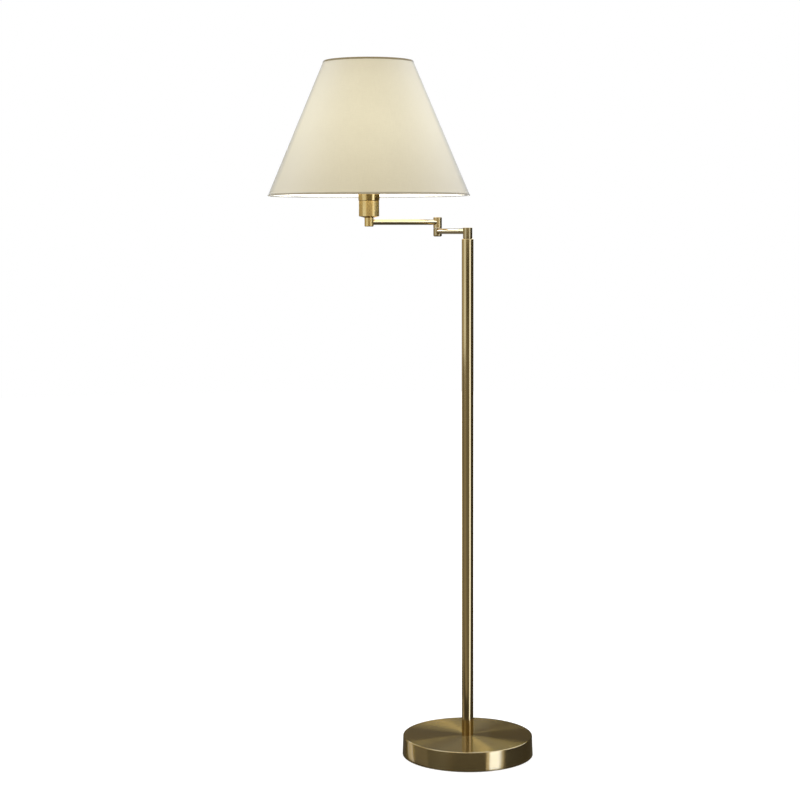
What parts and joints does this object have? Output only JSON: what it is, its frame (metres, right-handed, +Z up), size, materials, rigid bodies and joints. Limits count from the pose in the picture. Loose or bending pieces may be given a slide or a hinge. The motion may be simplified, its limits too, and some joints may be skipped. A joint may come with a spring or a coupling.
{
  "type": "bridge floor lamp",
  "caption": "Floor lamp with a weighted round base, a straight pole, a jointed arm that swings level on two upright pivots, and a cone shade on a screw lampholder.",
  "frame": {"origin": "on the floor, under the middle of the pole and of the round base", "axes": "+Z up along the pole; +Y from the pole towards the cord gland in the base's rear; +X to the right as seen from the front"},
  "size_m": [0.5728, 0.4368, 1.5],
  "materials": {
    "antique_brass": "brushed antique brass plate under clear lacquer, satin",
    "bright_brass": "bare turned brass",
    "zinc_steel": "zinc-plated steel",
    "cast_iron": "rough casting, black primer",
    "felt": "pressed dark felt",
    "black_plastic": "moulded black thermoset, half gloss",
    "white_nylon": "moulded natural nylon",
    "lead_sheath": "black sheathed two-core lead",
    "bulb_metal": "drawn thin sheet, bright",
    "black_glass": "black cast glass insulator",
    "opal_glass": "opal glass, lit",
    "white_lacquer": "white stoved lacquer on steel wire and sheet",
    "shade_fabric": "ivory fine linen-weave cloth, lit from inside",
    "shade_lining": "white styrene sheet laminated to the cloth"
  },
  "bodies": {
    "stand": {"base_cover": "antique_brass", "base_weight": "cast_iron", "base_felt": "felt", "cord_gland": "black_plastic", "foot_stud": "zinc_steel", "foot_washer": "zinc_steel", "foot_nut": "zinc_steel", "terminal_block": "white_nylon", "terminal_screws": "bright_brass", "block_fixing_screw": "zinc_steel", "pole_foot_plug": "zinc_steel", "pole_tube": "antique_brass", "pole_top_cap": "antique_brass", "pole_lead": "lead_sheath", "shoulder_pivot": "zinc_steel", "shoulder_washer": "antique_brass", "shoulder_stop_pin": "zinc_steel", "shoulder_spring_washer": "zinc_steel", "shoulder_ring_nut": "bright_brass"},
    "lower_arm": {"shoulder_barrel": "antique_brass", "shoulder_end_cap": "antique_brass", "lower_arm_tube": "antique_brass", "lower_arm_lead": "lead_sheath", "elbow_lower_barrel": "antique_brass", "elbow_bottom_cap": "antique_brass", "elbow_pivot": "zinc_steel", "elbow_washer": "white_nylon", "elbow_stop_pin": "zinc_steel", "elbow_spring_washer": "zinc_steel", "elbow_ring_nut": "bright_brass"},
    "upper_arm": {"elbow_upper_barrel": "antique_brass", "elbow_end_cap": "antique_brass", "upper_arm_tube": "antique_brass", "upper_arm_lead": "lead_sheath", "holder_stub": "antique_brass", "stub_bottom_cap": "antique_brass", "holder_nipple": "zinc_steel", "holder_cup": "antique_brass", "holder_nut": "zinc_steel", "lampholder_core": "black_plastic", "holder_screws": "bright_brass", "lampholder_sleeve": "black_plastic", "screw_shell": "bright_brass", "middle_contact": "bright_brass", "shade_ring": "black_plastic", "bulb_cap": "bulb_metal", "bulb_insulator": "black_glass", "bulb_tip": "bulb_metal", "bulb_glass": "opal_glass", "shade_fitter": "white_lacquer", "shade_top_ring": "white_lacquer", "shade_cover": "shade_fabric", "shade_liner": "shade_lining", "shade_top_hem": "shade_fabric", "shade_bottom_hem": "shade_fabric"}
  },
  "joints": [
    {"name": "shoulder_swing", "type": "hinge", "parent": "stand", "child": "lower_arm", "pos_m": [0, 0, 1.1361], "axis": [0, 0, 1], "range_deg": [-165, 165]},
    {"name": "elbow_swing", "type": "hinge", "parent": "lower_arm", "child": "upper_arm", "pos_m": [-0.06643, 0.18865, 1.1433], "axis": [0, 0, 1], "range_deg": [-283.7, 56.3]}
  ]
}
